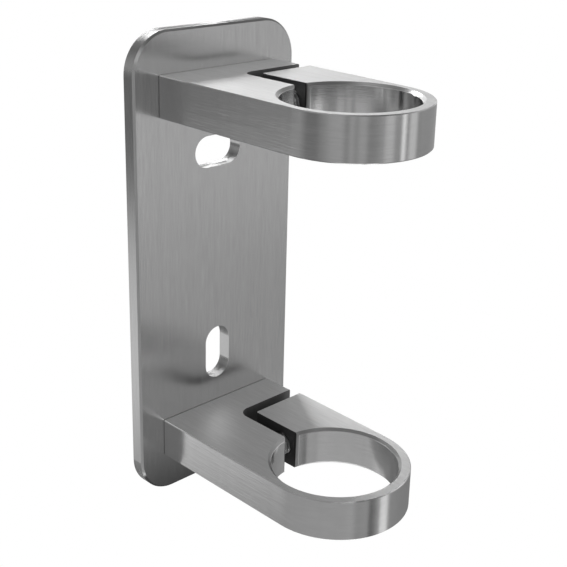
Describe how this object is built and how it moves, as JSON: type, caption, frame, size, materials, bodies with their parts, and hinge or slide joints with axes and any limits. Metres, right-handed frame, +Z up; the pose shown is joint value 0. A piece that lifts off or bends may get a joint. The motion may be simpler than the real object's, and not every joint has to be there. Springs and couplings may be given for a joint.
{
  "type": "post wall flange",
  "caption": "Stainless steel wall plate with slotted holes and split clamp arms that hold a round railing post upright in front of a wall or facade.",
  "frame": {"origin": "centre of the plate's back face, which lies on the wall", "axes": "+Y out of the back face into the wall, +Z up along the post, arms reach out along -Y, jaws open to +X"},
  "size_m": [0.07, 0.09, 0.165],
  "materials": {
    "plate_steel": "satin, grain along the plate",
    "arm_steel": "satin, grain along the arm",
    "screw_steel": "turned, plain"
  },
  "bodies": {
    "root": {"wall_plate": "plate_steel", "upper_clamp_arm": "arm_steel", "lower_clamp_arm": "arm_steel", "upper_clamp_screw": "screw_steel", "lower_clamp_screw": "screw_steel", "upper_arm_screws": "screw_steel", "lower_arm_screws": "screw_steel"}
  },
  "joints": []
}
